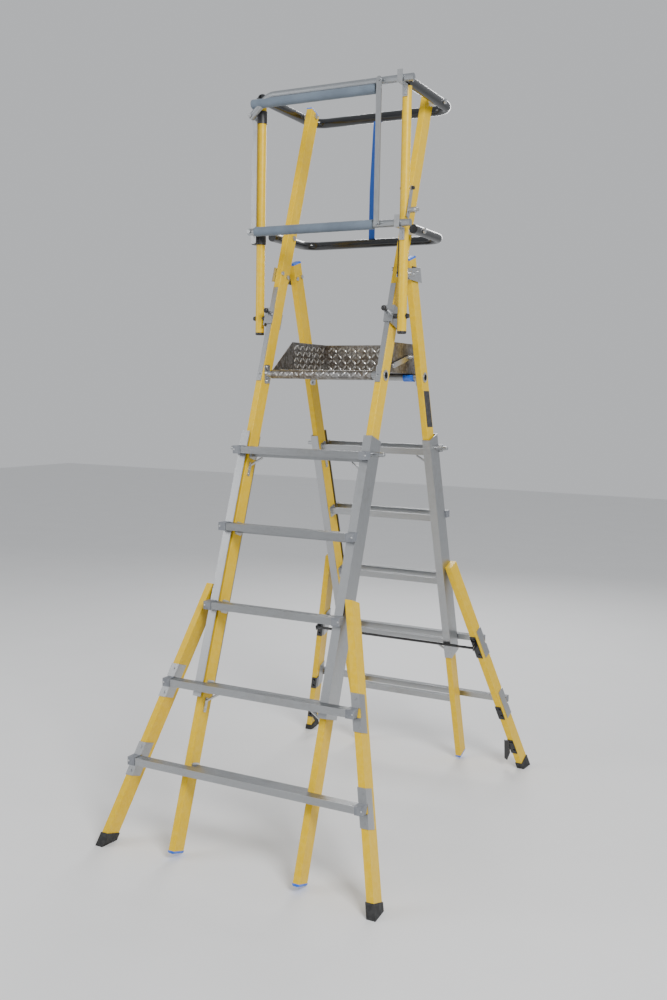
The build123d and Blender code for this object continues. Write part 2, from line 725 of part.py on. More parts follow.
def post_ends():
    """Tongue plugs at the posts' heads and caps at their feet."""
    plug = rod((RAIL_X, POST_Y, POST_Z[1] - 30), (RAIL_X, POST_Y, POST_Z[1]), POST_R - POST_WALL)
    blade = block((RAIL_X - TONGUE / 2, RAIL_X + TONGUE / 2), (POST_Y - TONGUE_R, POST_Y + TONGUE_R), (POST_Z[1] - 5, TOP_Z))
    eye = disc((POST_Y, TOP_Z), (RAIL_X - TONGUE / 2, RAIL_X + TONGUE / 2), TONGUE_R)
    tongue = cut(join(plug, blade, eye), disc((POST_Y, TOP_Z), (RAIL_X - 30, RAIL_X + 30), POST_PIN_R + RUNNING))
    cap = rod((RAIL_X, POST_Y, POST_Z[0] - 10), (RAIL_X, POST_Y, POST_Z[0]), POST_R)
    cap = cap.fillet(4.0, cap.faces().sort_by(Axis.Z)[0].edges())
    return pair([tongue, cap])


def post_bolts():
    """Foot bolts of the posts with their bushes; they end just short of the saddles."""
    inner = STILE_X[1] + SADDLE_SIDE_GAP + SADDLE_WALL + 0.8
    shank = disc(SADDLE_PIVOT, (inner, RAIL_X + POST_R + 3), POST_PIN_R)
    bush = disc(SADDLE_PIVOT, (inner, RAIL_X - POST_R), 9.0)
    lug = disc(SADDLE_PIVOT, (RAIL_X - POST_R, RAIL_X - POST_R + 6), 9.0)
    post_body = rod((RAIL_X, POST_Y, POST_Z[0]), (RAIL_X, POST_Y, POST_Z[1]), POST_R)
    collar = cut(join(bush, lug), post_body)
    washer = disc(SADDLE_PIVOT, (RAIL_X + POST_R, RAIL_X + POST_R + 3), 10.0)
    head = disc(SADDLE_PIVOT, (RAIL_X + POST_R + 3, RAIL_X + POST_R + 10), 8.0)
    return pair([join(shank, collar, washer, head)])


def post_collars():
    """Collars on the left post that carry the gate's hinge bar."""
    pieces = []
    for low, high in ((2670.0, 2716.0), (2212.0, 2252.0)):
        ring = rod((-RAIL_X, POST_Y, low), (-RAIL_X, POST_Y, high), POST_R + 3)
        lug = block((GATE_LEFT - 11, -RAIL_X), (BAR_Y[1], POST_Y), (low, high))
        bore = rod((-RAIL_X, POST_Y, low - 1), (-RAIL_X, POST_Y, high + 1), POST_R)
        pieces.append(cut(join(ring, lug), bore))
    return pieces


def hinge_bar():
    """Flat bar on the left post with the gate's two pivot pins."""
    pins = []
    bar = block((GATE_LEFT - 11, GATE_LEFT + 11), BAR_Y, (2214.0, 2708.0))
    bar = rounded(bar, 10.0, Axis.Y)
    for z in (GATE_LOW_Z, GATE_TOP_PIVOT_Z):
        pins.append(rod((GATE_LEFT, BAR_Y[0], z), (GATE_LEFT, GATE_Y - GATE_R - 1, z), GATE_PIN_R))
        pins.append(rod((GATE_LEFT, GATE_Y - GATE_R - 6, z), (GATE_LEFT, GATE_Y - GATE_R - 1, z), 7.5))
        pins.append(rod((GATE_LEFT, BAR_Y[0] - 4.5, z), (GATE_LEFT, BAR_Y[0], z), 9.0))
    return [join(bar, *pins)]


def gate_hook(level):
    """J-shaped hook on the right post, under one rail."""
    x = (RAIL_X - HOOK_WIDTH / 2, RAIL_X + HOOK_WIDTH / 2)
    back = POST_Y - POST_R
    front = GATE_Y - GATE_R - 3
    seat = level - GATE_R - 0.5
    plate = block(x, (back - HOOK_WALL, back), (seat - 42, seat))
    base = block(x, (front - HOOK_WALL, back), (seat - HOOK_WALL, seat))
    lip = block(x, (front - HOOK_WALL, front), (seat - HOOK_WALL, seat + 40))
    rivets = []
    for drop in (16.0, 32.0):
        rivets.append(rod((RAIL_X, back - HOOK_WALL - 3, seat - drop), (RAIL_X, back - HOOK_WALL, seat - drop), 4.5))
    return join(plate, base, lip, *rivets)


def post_strip():
    """Thin keeper strip on the inner side of the right post."""
    inner = RAIL_X - POST_R
    strip = block((inner - 3.5, inner), (POST_Y - 6, POST_Y + 6), (2072.0, 2206.0))
    head = disc((POST_Y, 2086.0), (inner - 7, inner - 3.5), 4.5)
    return [join(strip, head)]


def latch_bolt():
    """Bolt through the right post that the latch turns on."""
    inner = RAIL_X - POST_R
    bolt = disc(LATCH_PIVOT, (inner - 6, LATCH_X[1] + 1), GATE_PIN_R)
    nuts = [disc(LATCH_PIVOT, (inner - 6, inner), 6.5), disc(LATCH_PIVOT, (LATCH_X[1] + 0.5, LATCH_X[1] + 8), 6.5)]
    whole = join(bolt, *nuts)
    wall = rod((RAIL_X, POST_Y, 2300), (RAIL_X, POST_Y, 2450), POST_R)
    return whole, wall


def latch_lever():
    """Drop lever beside the right post, with its nylon roller."""
    run = Vector(0, *LATCH_END) - Vector(0, *LATCH_PIVOT)
    across = Vector(0, -run.Z, run.Y).normalized() * 9.0
    corners = []
    for centre, sign in ((LATCH_PIVOT, 1), (LATCH_END, 1), (LATCH_END, -1), (LATCH_PIVOT, -1)):
        corners.append((centre[0] + sign * across.Y, centre[1] + sign * across.Z))
    plate = join(prism(corners, *LATCH_X, "x"), disc(LATCH_PIVOT, LATCH_X, 9.0), disc(LATCH_END, LATCH_X, 9.0))
    plate = cut(plate, disc(LATCH_PIVOT, (LATCH_X[0] - 1, LATCH_X[1] + 1), GATE_PIN_R + RUNNING))
    roller = disc(LATCH_ROLLER, (LATCH_X[1], LATCH_X[1] + 28), 11.0)
    roller = roller.fillet(2.0, roller.edges().filter_by(GeomType.CIRCLE))
    tip = disc(LATCH_ROLLER, (LATCH_X[1] + 28, LATCH_X[1] + 38), 5.0)
    return [plate, roller, tip]


# ---------------------------------------------------------------- gate
def gate_low_rail():
    """Lower gate rail, drilled for its hinge pin, with the link's bolt."""
    rail = hollow_rod((GATE_LEFT - 9, GATE_Y, GATE_LOW_Z), (GATE_RIGHT, GATE_Y, GATE_LOW_Z), GATE_R, 2.0)
    bore = rod((GATE_LEFT, GATE_Y - 30, GATE_LOW_Z), (GATE_LEFT, GATE_Y + 30, GATE_LOW_Z), GATE_PIN_R + RUNNING)
    x, z = LINK_LOW
    bolt = rod((x, GATE_Y - FOAM_R - 7.0, z), (x, GATE_Y + GATE_R, z), GATE_PIN_R)
    head = rod((x, GATE_Y - FOAM_R - 11.0, z), (x, GATE_Y - FOAM_R - 6.8, z), 7.0)
    plug = rod((GATE_RIGHT, GATE_Y, GATE_LOW_Z), (GATE_RIGHT + 5, GATE_Y, GATE_LOW_Z), GATE_R)
    return [join(cut(rail, bore, bolt), bolt, head, plug)]


def gate_top_path(start_x):
    """The upper rail's line from its pivot end, or from further along it, to its free end."""
    y = GATE_Y
    slope = (GATE_TOP_Z - GATE_TOP_PIVOT_Z) / (GATE_BEND_X - GATE_LEFT)
    start = (start_x, y, GATE_TOP_PIVOT_Z + slope * (start_x - GATE_LEFT))
    return start, (GATE_BEND_X, y, GATE_TOP_Z)


def bent_rail(start_x, end_x, radius, wall):
    """A tube along the upper rail's line."""
    start, knee = gate_top_path(start_x)
    path = FilletPolyline(start, knee, (end_x, GATE_Y, GATE_TOP_Z), radius=60.0)
    plane = Plane(origin=start, z_dir=Vector(*knee) - Vector(*start))
    outer = sweep(plane * Circle(radius), path=path).solids()[0]
    inner = sweep(plane * Circle(radius - wall), path=path).solids()[0]
    return cut(outer, inner)


def gate_top_rail():
    """Upper gate rail, bent down to its hinge pin."""
    rail = bent_rail(GATE_LEFT - 7, GATE_RIGHT, GATE_R, 2.0)
    z = GATE_TOP_PIVOT_Z
    bore = rod((GATE_LEFT, GATE_Y - 30, z), (GATE_LEFT, GATE_Y + 30, z), GATE_PIN_R + RUNNING)
    plug = rod((GATE_RIGHT, GATE_Y, GATE_TOP_Z), (GATE_RIGHT + 5, GATE_Y, GATE_TOP_Z), GATE_R)
    return [join(cut(rail, bore), plug)]


def gate_link():
    """Flat link that makes the two rails lift together."""
    y = (GATE_Y - FOAM_R - 6.5, GATE_Y - FOAM_R - 1.5)
    bar = block((LINK_LOW[0] - 10, LINK_LOW[0] + 10), y, (LINK_LOW[1] - 11, LINK_TOP[1] + 11))
    bar = rounded(bar, 9.0, Axis.Y)
    x, z = LINK_LOW
    bar = cut(bar, rod((x, y[0] - 1, z), (x, y[1] + 1, z), GATE_PIN_R + RUNNING))
    x, z = LINK_TOP
    return [join(bar, rod((x, y[0] - 4, z), (x, y[0], z), 7.0))]


# ---------------------------------------------------------------- saddles, strips and plungers
def track_strips():
    """Aluminium strips on the front stiles with the plungers' holes."""
    strip = block(STRIP_X, (-STRIP_DEPTH, 0), STRIP_A)
    holes = []
    for travel in (0.0, PLUNGER_TRAVEL_A):
        a = PLUNGER[1] - travel
        holes.append(rod((PLUNGER[0], -9, a), (PLUNGER[0], -0.1, a), PLUNGER_R + 1))
    return leaned(pair([cut(strip, *holes)]), "front")


def saddles():
    """C-shaped sliders that carry the posts' feet, with the plungers' barrels."""
    gap = 0.5
    side_x = (STILE_X[1] + SADDLE_SIDE_GAP, STILE_X[1] + SADDLE_SIDE_GAP + SADDLE_WALL)
    face = (-STRIP_DEPTH - gap - SADDLE_WALL, -STRIP_DEPTH - gap)
    front = block((238.0, side_x[1]), face, SADDLE_A)
    side = block(side_x, (face[0], STILE_DEPTH + gap + 4.5), (SADDLE_A[0] - 8, SADDLE_A[1]))
    rear = block((241.0, side_x[1]), (STILE_DEPTH + gap, STILE_DEPTH + gap + 4.5), SADDLE_A)
    x, a = PLUNGER
    barrel = rod((x, -26, a), (x, face[0], a), 8.5)
    bore = rod((x, -40, a), (x, -1, a), PLUNGER_R + RUNNING)
    return leaned(pair([cut(join(front, side, rear, barrel), bore)]), "front")


def plunger():
    """Spring plunger with a ball knob on the right; its tip stops just short of the strip."""
    x, a = PLUNGER
    pin = rod((x, -36, a), (x, -STRIP_DEPTH - 0.7, a), PLUNGER_R)
    ball = Solid.make_sphere(KNOB_R, Plane((x, -42.5, a)))
    return leaned([join(pin, ball)], "front")[0]


# ---------------------------------------------------------------- strap
def strap():
    """Webbing between the two hoops' rear bars, a plain flat bar here."""
    high = Vector(0, TOP_REAR, TOP_Z)
    low = Vector(0, MID_REAR, MID_Z)
    run = (low - high).normalized()
    start = high + run * (TOP_R + 0.5)
    end = low - run * (MID_R + 0.3)
    across = Vector(0, -run.Z, run.Y) * 1.5
    corners = []
    for place, sign in ((start, 1), (end, 1), (end, -1), (start, -1)):
        corners.append((place.Y + sign * across.Y, place.Z + sign * across.Z))
    return [prism(corners, -20.0, 6.0, "x")]


# ---------------------------------------------------------------- write the nodes
for side in ("front", "rear"):
    upright = stile(side)
    save(f"{side}_stile_right", [upright])
    save(f"{side}_stile_left", [upright.mirror(Plane.YZ)])
    save(f"{side}_stile_caps", stile_caps(side))
    save(f"{side}_rungs", inner_rungs(side))
    save(f"{side}_platform_tube", platform_tube(side))
    rail = channel(side)
    save(f"{side}_channel_right", [rail])
    save(f"{side}_channel_left", [rail.mirror(Plane.YZ)])
    flare = leg(side)
    save(f"{side}_leg_right", [flare])
    save(f"{side}_leg_left", [flare.mirror(Plane.YZ)])
    save(f"{side}_treads", treads(side))
    save(f"{side}_tread_caps", tread_caps(side))
    save(f"{side}_feet", feet(side))
    handle = lock_handle(side)
    save(f"{side}_lock_right", [handle])
    save(f"{side}_lock_left", [handle.mirror(Plane.YZ)])
    save(f"{side}_tread_saddles", tread_saddles(side) + lock_housings(side))

front_brackets = tube_rings("front") + rung_flanges("front") + rung_braces("front")
front_brackets += leaned(pair(hinge_bolts("front")), "front")
front_brackets += pair(rail_bolts())
save("front_brackets", front_brackets)
rear_brackets = tube_rings("rear") + rung_flanges("rear") + rung_braces("rear")
rear_brackets += leaned(pair(hinge_bolts("rear")), "rear")
rear_brackets += pair([stay_pin()])
save("rear_brackets", rear_brackets)
save("rail_spacers", pair(rail_spacers()))
save("front_hinge_plates", pair([hinge_plate("front")]))
save("rear_hinge_plates", pair([hinge_plate("rear"), hinge_pin()]))
save("hinge_packers", pair([hinge_packer()]))
save("track_strips", track_strips())
save("rear_leg_brackets", leg_brackets() + tie_rod())
save("deck_clip", deck_clip())
save("deck_plate", deck_plate())
save("toe_boards", toe_boards())
save("stay_links", pair([stay_link()]))
save("top_hoop", [top_hoop()])
save("top_hoop_bolts", post_pins())
save("mid_hoop", [mid_hoop()] + mid_plugs())
bolt, wall = latch_bolt()
right_post = cut(post(), bolt)
save("guard_post_right", [right_post])
save("guard_post_left", [post().mirror(Plane.YZ)])
save("post_fittings", post_ends() + post_bolts() + post_collars() + post_strip() + [bolt])
save("gate_hooks", [gate_hook(GATE_LOW_Z), gate_hook(GATE_TOP_Z)])
save("gate_hinge_bar", hinge_bar())
save("post_saddles", saddles())
knob = plunger()
save("plunger_right", [knob])
save("plunger_left", [knob.mirror(Plane.YZ)])
save("gate_low_rail", gate_low_rail())
save("gate_top_rail", gate_top_rail())
save("gate_low_foam", [hollow_rod((-300, GATE_Y, GATE_LOW_Z), (FOAM_END, GATE_Y, GATE_LOW_Z), FOAM_R, FOAM_R - GATE_R)])
save("gate_top_foam", [bent_rail(-306.0, FOAM_END, FOAM_R, FOAM_R - GATE_R)])
save("gate_link", gate_link())
save("latch_lever", latch_lever())
save("safety_strap", strap())
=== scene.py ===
import bmesh
import bpy
import json
from math import cos, hypot, pi, radians, sin
from mathutils import Matrix, Vector


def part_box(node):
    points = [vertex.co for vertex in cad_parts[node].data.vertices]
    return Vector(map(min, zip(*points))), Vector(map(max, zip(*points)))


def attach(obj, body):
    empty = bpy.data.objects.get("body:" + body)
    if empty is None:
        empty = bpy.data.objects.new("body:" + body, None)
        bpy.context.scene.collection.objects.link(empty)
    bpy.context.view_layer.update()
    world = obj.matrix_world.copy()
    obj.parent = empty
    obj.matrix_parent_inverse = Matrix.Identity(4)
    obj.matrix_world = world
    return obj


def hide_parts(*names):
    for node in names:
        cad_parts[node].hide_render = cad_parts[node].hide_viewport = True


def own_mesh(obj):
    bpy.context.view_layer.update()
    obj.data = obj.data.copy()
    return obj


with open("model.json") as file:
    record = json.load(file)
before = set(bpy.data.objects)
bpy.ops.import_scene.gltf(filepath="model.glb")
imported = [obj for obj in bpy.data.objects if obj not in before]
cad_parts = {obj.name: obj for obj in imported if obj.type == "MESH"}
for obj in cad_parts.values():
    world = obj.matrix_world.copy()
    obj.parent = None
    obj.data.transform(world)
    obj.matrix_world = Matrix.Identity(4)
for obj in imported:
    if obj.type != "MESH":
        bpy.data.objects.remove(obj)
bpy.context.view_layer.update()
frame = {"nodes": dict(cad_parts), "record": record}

bl_info = {
    "name": "Platform Step Ladder",
    "version": (1, 0, 0),
    "blender": (4, 5, 0),
    "location": "View3D > Sidebar > Ladder",
    "description": "Finishes a glass-fibre platform step ladder around its packed frame",
    "category": "Object",
}

NODES = frame["nodes"]
MM = 0.001
PLATE = 3.0 * MM
DECK_TOP = 1.73005
NOSING_CENTRE = (-0.1867, 1.713)
TOP_BAR = ((0.280, 2.764), 0.019)
MIDDLE_BAR = ((0.234, 2.254), 0.017)
STILE_FOOT_Y = 0.7786
STILE_SLOPE = 0.3123 / 0.95
STILE_MIDDLE = 0.0307 / 0.95


# ---------------------------------------------------------------- settings
class LadderFinish(bpy.types.PropertyGroup):
    """Colours and wear of the ladder's finishes."""

    resin: bpy.props.FloatVectorProperty(
        name="Glass-fibre yellow", description="Colour of the stiles, legs and posts",
        default=(0.74, 0.47, 0.0), size=3, min=0.0, max=1.0, subtype="COLOR")
    aluminium: bpy.props.FloatVectorProperty(
        name="Aluminium", description="Colour of the treads and channels",
        default=(0.40, 0.41, 0.42), size=3, min=0.0, max=1.0, subtype="COLOR")
    blue: bpy.props.FloatVectorProperty(
        name="Cap blue", description="Colour of the moulded caps",
        default=(0.0, 0.11, 0.66), size=3, min=0.0, max=1.0, subtype="COLOR")
    webbing: bpy.props.FloatVectorProperty(
        name="Strap blue", description="Colour of the strap",
        default=(0.004, 0.07, 0.36), size=3, min=0.0, max=1.0, subtype="COLOR")
    foam: bpy.props.FloatVectorProperty(
        name="Foam grey", description="Colour of the gate's sleeves",
        default=(0.13, 0.165, 0.21), size=3, min=0.0, max=1.0, subtype="COLOR")
    wear: bpy.props.FloatProperty(
        name="Wear", description="How far edges are rubbed and faces are dusty",
        default=0.22, min=0.0, max=1.0, subtype="FACTOR")


class LadderSizes(bpy.types.PropertyGroup):
    """Sizes of the pieces that are made here."""

    chequer_length: bpy.props.FloatProperty(
        name="Chequer bar", description="Length of one raised bar of the chequer plate",
        default=25.0 * MM, min=0.004, max=0.04, unit="LENGTH")
    chequer_pitch: bpy.props.FloatProperty(
        name="Chequer pitch", description="Distance between groups of bars",
        default=22.0 * MM, min=0.01, max=0.08, unit="LENGTH")
    chequer_rise: bpy.props.FloatProperty(
        name="Chequer rise", description="Height of the raised bars",
        default=1.5 * MM, min=0.0002, max=0.003, unit="LENGTH")
    strap_width: bpy.props.FloatProperty(
        name="Strap width", description="Width of the webbing",
        default=26.0 * MM, min=0.01, max=0.06, unit="LENGTH")
    strap_thickness: bpy.props.FloatProperty(
        name="Strap thickness", description="Thickness of the webbing",
        default=1.8 * MM, min=0.001, max=0.005, unit="LENGTH")


def settings():
    """The scene's finish and size settings."""
    return bpy.context.scene.ladder_finish, bpy.context.scene.ladder_sizes


# ---------------------------------------------------------------- shader groups
def socket(group, name, kind, way, default=None):
    """One named input or output of a shader group."""
    item = group.interface.new_socket(name=name, in_out=way, socket_type=kind)
    if default is not None:
        item.default_value = default
    return item


def node(tree, kind, **inputs):
    """A shader node with some inputs set by name or index."""
    made = tree.nodes.new(kind)
    for key, value in inputs.items():
        made.inputs[key.replace("_", " ")].default_value = value
    return made


def math_node(tree, operation, first, second=None, clamp=False):
    """A Math node fed with sockets or numbers; gives its output."""
    made = tree.nodes.new("ShaderNodeMath")
    made.operation = operation
    made.use_clamp = clamp
    for index, value in enumerate((first, second)):
        if value is None:
            continue
        if hasattr(value, "is_linked"):
            tree.links.new(value, made.inputs[index])
        else:
            made.inputs[index].default_value = value
    return made.outputs[0]


def ramp(tree, value, low, high, start=0.0, end=1.0):
    """A smooth remap of a value."""
    made = tree.nodes.new("ShaderNodeMapRange")
    made.interpolation_type = "SMOOTHSTEP"
    tree.links.new(value, made.inputs["Value"])
    made.inputs["From Min"].default_value = low
    made.inputs["From Max"].default_value = high
    made.inputs["To Min"].default_value = start
    made.inputs["To Max"].default_value = end
    return made.outputs["Result"]


def mix_colour(tree, factor, first, second):
    """A colour mix; each input is a socket or a colour."""
    made = tree.nodes.new("ShaderNodeMix")
    made.data_type = "RGBA"
    for index, value in ((0, factor), (6, first), (7, second)):
        if hasattr(value, "is_linked"):
            tree.links.new(value, made.inputs[index])
        elif index:
            made.inputs[index].default_value = (*value[:3], 1.0)
        else:
            made.inputs[index].default_value = value
    return made.outputs[2]


def stretched(tree, scale):
    """Object coordinates stretched by a scale on each axis."""
    coordinates = tree.nodes.new("ShaderNodeTexCoord")
    mapping = tree.nodes.new("ShaderNodeMapping")
    mapping.inputs["Scale"].default_value = scale
    tree.links.new(coordinates.outputs["Object"], mapping.inputs["Vector"])
    return mapping.outputs["Vector"]


def noise(tree, vector, scale, detail=3.0, roughness=0.55):
    """A noise value between 0 and 1."""
    made = node(tree, "ShaderNodeTexNoise", Scale=scale, Detail=detail, Roughness=roughness)
    tree.links.new(vector, made.inputs["Vector"])
    return made.outputs["Fac"]


def new_group(name):
    """An empty shader group with its two end nodes."""
    tree = bpy.data.node_groups.new(name, "ShaderNodeTree")
    return tree, tree.nodes.new("NodeGroupInput"), tree.nodes.new("NodeGroupOutput")


def edge_wear_group():
    """Group: a mask that is 1 along rubbed outer edges."""
    tree, start, end = new_group("ladder_edge_wear")
    socket(tree, "Amount", "NodeSocketFloat", "INPUT", 0.4)
    socket(tree, "Mask", "NodeSocketFloat", "OUTPUT")
    geometry = tree.nodes.new("ShaderNodeNewGeometry")
    edge = ramp(tree, geometry.outputs["Pointiness"], 0.515, 0.57)
    spots = ramp(tree, noise(tree, stretched(tree, (1, 1, 1)), 60.0, 5.0), 0.42, 0.62)
    rubbed = math_node(tree, "MULTIPLY", edge, spots)
    amount = math_node(tree, "MULTIPLY", rubbed, start.outputs["Amount"], clamp=True)
    tree.links.new(amount, end.inputs["Mask"])
    return tree


def dust_group():
    """Group: a soft mottled mask for dust and handling marks."""
    tree, start, end = new_group("ladder_dust")
    socket(tree, "Amount", "NodeSocketFloat", "INPUT", 0.3)
    socket(tree, "Mask", "NodeSocketFloat", "OUTPUT")
    broad = ramp(tree, noise(tree, stretched(tree, (1, 1, 1)), 5.0, 6.0, 0.6), 0.45, 0.75)
    fine = ramp(tree, noise(tree, stretched(tree, (1, 1, 1)), 45.0, 4.0), 0.35, 0.7)
    mottled = math_node(tree, "MULTIPLY", broad, fine)
    mask = math_node(tree, "MULTIPLY", mottled, start.outputs["Amount"], clamp=True)
    tree.links.new(mask, end.inputs["Mask"])
    return tree


def grain_group():
    """Group: long fine streaks along a piece, as drawn or pultruded stock has."""
    tree, start, end = new_group("ladder_grain")
    socket(tree, "Vector", "NodeSocketVector", "INPUT")
    socket(tree, "Value", "NodeSocketFloat", "OUTPUT")
    fine = noise(tree, start.outputs["Vector"], 220.0, 3.0, 0.6)
    broad = noise(tree, start.outputs["Vector"], 38.0, 2.0, 0.5)
    fine_share = math_node(tree, "MULTIPLY", fine, 0.6)
    broad_share = math_node(tree, "MULTIPLY", broad, 0.4)
    blend = math_node(tree, "ADD", fine_share, broad_share)
    tree.links.new(blend, end.inputs["Value"])
    return tree


def weave_group():
    """Group: over-and-under threads across the piece's own UV map."""
    tree, start, end = new_group("ladder_weave")
    socket(tree, "Threads", "NodeSocketFloat", "INPUT", 14.0)
    socket(tree, "Height", "NodeSocketFloat", "OUTPUT")
    uv = tree.nodes.new("ShaderNodeUVMap")
    split = tree.nodes.new("ShaderNodeSeparateXYZ")
    tree.links.new(uv.outputs["UV"], split.inputs[0])
    across = math_node(tree, "MULTIPLY", split.outputs[0], start.outputs["Threads"])
    along = math_node(tree, "MULTIPLY", split.outputs[1], start.outputs["Threads"])
    warp = math_node(tree, "SINE", math_node(tree, "MULTIPLY", across, 2 * pi))
    slanted = math_node(tree, "ADD", along, across)
    weft = math_node(tree, "SINE", math_node(tree, "MULTIPLY", slanted, 2 * pi))
    warp_share = math_node(tree, "MULTIPLY", warp, 0.3)
    weft_share = math_node(tree, "MULTIPLY", weft, 0.2)
    height = math_node(tree, "ADD", warp_share, weft_share)
    tree.links.new(math_node(tree, "ADD", height, 0.5), end.inputs["Height"])
    return tree


GROUPS = {}


def shared(name):
    """A shader group, built the first time it is asked for."""
    makers = {"wear": edge_wear_group, "dust": dust_group, "grain": grain_group, "weave": weave_group}
    if name not in GROUPS:
        GROUPS[name] = makers[name]()
    return GROUPS[name]


def group_node(tree, name, **inputs):
    """A shared group placed in a material."""
    made = tree.nodes.new("ShaderNodeGroup")
    made.node_tree = shared(name)
    for key, value in inputs.items():
        made.inputs[key].default_value = value
    return made


# ---------------------------------------------------------------- materials
class Finish:
    """A material being wired: its tree, its shader and the usual layers."""

    def __init__(self, name, **values):
        self.material = bpy.data.materials.new(name)
        self.material.use_nodes = True
        self.tree = self.material.node_tree
        self.shader = self.tree.nodes["Principled BSDF"]
        for key, value in values.items():
            self.shader.inputs[key.replace("_", " ")].default_value = value

    def grain(self, scale):
        """Streaks stretched by a scale, as a value."""
        made = group_node(self.tree, "grain")
        self.tree.links.new(stretched(self.tree, scale), made.inputs["Vector"])
        return made.outputs["Value"]

    def mask(self, name, amount):
        """A wear or dust mask."""
        return group_node(self.tree, name, Amount=amount).outputs["Mask"]

    def colour(self, value):
        """Feeds the base colour."""
        self.tree.links.new(value, self.shader.inputs["Base Color"])

    def roughness(self, value, low, high):
        """Feeds roughness from a 0 to 1 value."""
        self.tree.links.new(ramp(self.tree, value, 0.25, 0.75, low, high), self.shader.inputs["Roughness"])

    def bump(self, value, strength, distance):
        """Adds a bump from a height value."""
        made = node(self.tree, "ShaderNodeBump", Strength=strength, Distance=distance)
        self.tree.links.new(value, made.inputs["Height"])
        self.tree.links.new(made.outputs["Normal"], self.shader.inputs["Normal"])


def yellow_resin(name="yellow_glass_fibre"):
    """Pultruded glass fibre: satin, with long fibre streaks and scuffs."""
    look, _ = settings()
    made = Finish(name, Coat_Weight=0.05, Coat_Roughness=0.25, Specular_IOR_Level=0.28)
    streak = made.grain((6.0, 6.0, 0.35))
    base = tuple(look.resin)
    pale = (min(1.0, base[0] * 1.03), base[1] * 1.04, base[2])
    deep = (base[0] * 0.96, base[1] * 0.95, base[2])
    colour = mix_colour(made.tree, ramp(made.tree, streak, 0.36, 0.64), deep, pale)
    colour = mix_colour(made.tree, made.mask("dust", look.wear * 0.5), colour, (0.56, 0.36, 0.02))
    colour = mix_colour(made.tree, made.mask("wear", look.wear), colour, (0.80, 0.58, 0.10))
    made.colour(colour)
    made.roughness(streak, 0.30, 0.44)
    made.bump(streak, 0.25, 0.0004)
    return made.material


def metal(name, colour, rough, scale=(1.0, 60.0, 60.0), grime=(0.20, 0.17, 0.13), bump=0.10):
    """Bare metal drawn along one direction, with a little grime."""
    look, _ = settings()
    made = Finish(name, Metallic=1.0)
    streak = made.grain(scale)
    bright = tuple(min(1.0, c * 1.12) for c in colour)
    dull = tuple(c * 0.84 for c in colour)
    shade = mix_colour(made.tree, ramp(made.tree, streak, 0.35, 0.65), dull, bright)
    shade = mix_colour(made.tree, made.mask("dust", look.wear), shade, grime)
    made.colour(shade)
    made.roughness(streak, rough[0], rough[1])
    made.bump(streak, bump, 0.0003)
    return made.material


def coated(name, colour, rough, wear_colour, coat=0.0, grain_size=900.0, bump=0.12):
    """Paint, plastic or rubber with a fine grain, dust and rubbed edges."""
    look, _ = settings()
    made = Finish(name, Coat_Weight=coat, Coat_Roughness=0.12)
    fine = noise(made.tree, stretched(made.tree, (1, 1, 1)), grain_size, 2.0)
    mottled = noise(made.tree, stretched(made.tree, (1, 1, 1)), 14.0, 4.0)
    dark = tuple(c * 0.86 for c in colour)
    light = tuple(min(1, c * 1.12) for c in colour)
    shade = mix_colour(made.tree, ramp(made.tree, mottled, 0.3, 0.7), dark, light)
    dusty = tuple(c * 0.7 + 0.05 for c in colour)
    shade = mix_colour(made.tree, made.mask("dust", look.wear * 0.25), shade, dusty)
    shade = mix_colour(made.tree, made.mask("wear", look.wear), shade, wear_colour)
    made.colour(shade)
    made.roughness(mottled, rough[0], rough[1])
    made.bump(fine, bump, 0.0002)
    return made.material


def chequer_metal(name="oxidised_chequer_plate"):
    """Rolled aluminium, greyed and a little brown."""
    look, _ = settings()
    made = Finish(name, Metallic=1.0)
    patch = noise(made.tree, stretched(made.tree, (1, 1, 1)), 9.0, 6.0, 0.65)
    spots = noise(made.tree, stretched(made.tree, (1, 1, 1)), 120.0, 3.0)
    shade = mix_colour(made.tree, ramp(made.tree, patch, 0.35, 0.68), (0.20, 0.19, 0.18), (0.15, 0.12, 0.09))
    shade = mix_colour(made.tree, ramp(made.tree, spots, 0.55, 0.75), shade, (0.30, 0.29, 0.28))
    shade = mix_colour(made.tree, made.mask("wear", look.wear), shade, (0.75, 0.75, 0.75))
    made.colour(shade)
    made.roughness(patch, 0.34, 0.56)
    made.bump(spots, 0.15, 0.0004)
    return made.material


def foam_skin(name="grey_foam_sleeve"):
    """Closed-cell foam: matt, finely pitted."""
    look, _ = settings()
    made = Finish(name, Specular_IOR_Level=0.35, Sheen_Weight=0.15, Sheen_Roughness=0.5)
    pits = noise(made.tree, stretched(made.tree, (1, 1, 1)), 480.0, 3.0, 0.7)
    mottled = noise(made.tree, stretched(made.tree, (1, 1, 1)), 12.0, 3.0)
    base = tuple(look.foam)
    dark = tuple(c * 0.88 for c in base)
    light = tuple(c * 1.12 for c in base)
    shade = mix_colour(made.tree, ramp(made.tree, mottled, 0.3, 0.7), dark, light)
    shade = mix_colour(made.tree, made.mask("dust", look.wear * 0.5), shade, (0.40, 0.40, 0.40))
    made.colour(shade)
    made.roughness(pits, 0.55, 0.78)
    made.bump(pits, 0.30, 0.0006)
    return made.material


def webbing(name="blue_webbing"):
    """Woven polyester strap."""
    look, _ = settings()
    made = Finish(name, Sheen_Weight=0.3, Sheen_Roughness=0.4, Roughness=0.75)
    weave = group_node(made.tree, "weave", Threads=700.0).outputs["Height"]
    base = tuple(look.webbing)
    dark = tuple(c * 0.6 for c in base)
    light = tuple(min(1.0, c * 1.35) for c in base)
    made.colour(mix_colour(made.tree, weave, dark, light))
    made.roughness(weave, 0.62, 0.85)
    made.bump(weave, 0.6, 0.0008)
    return made.material


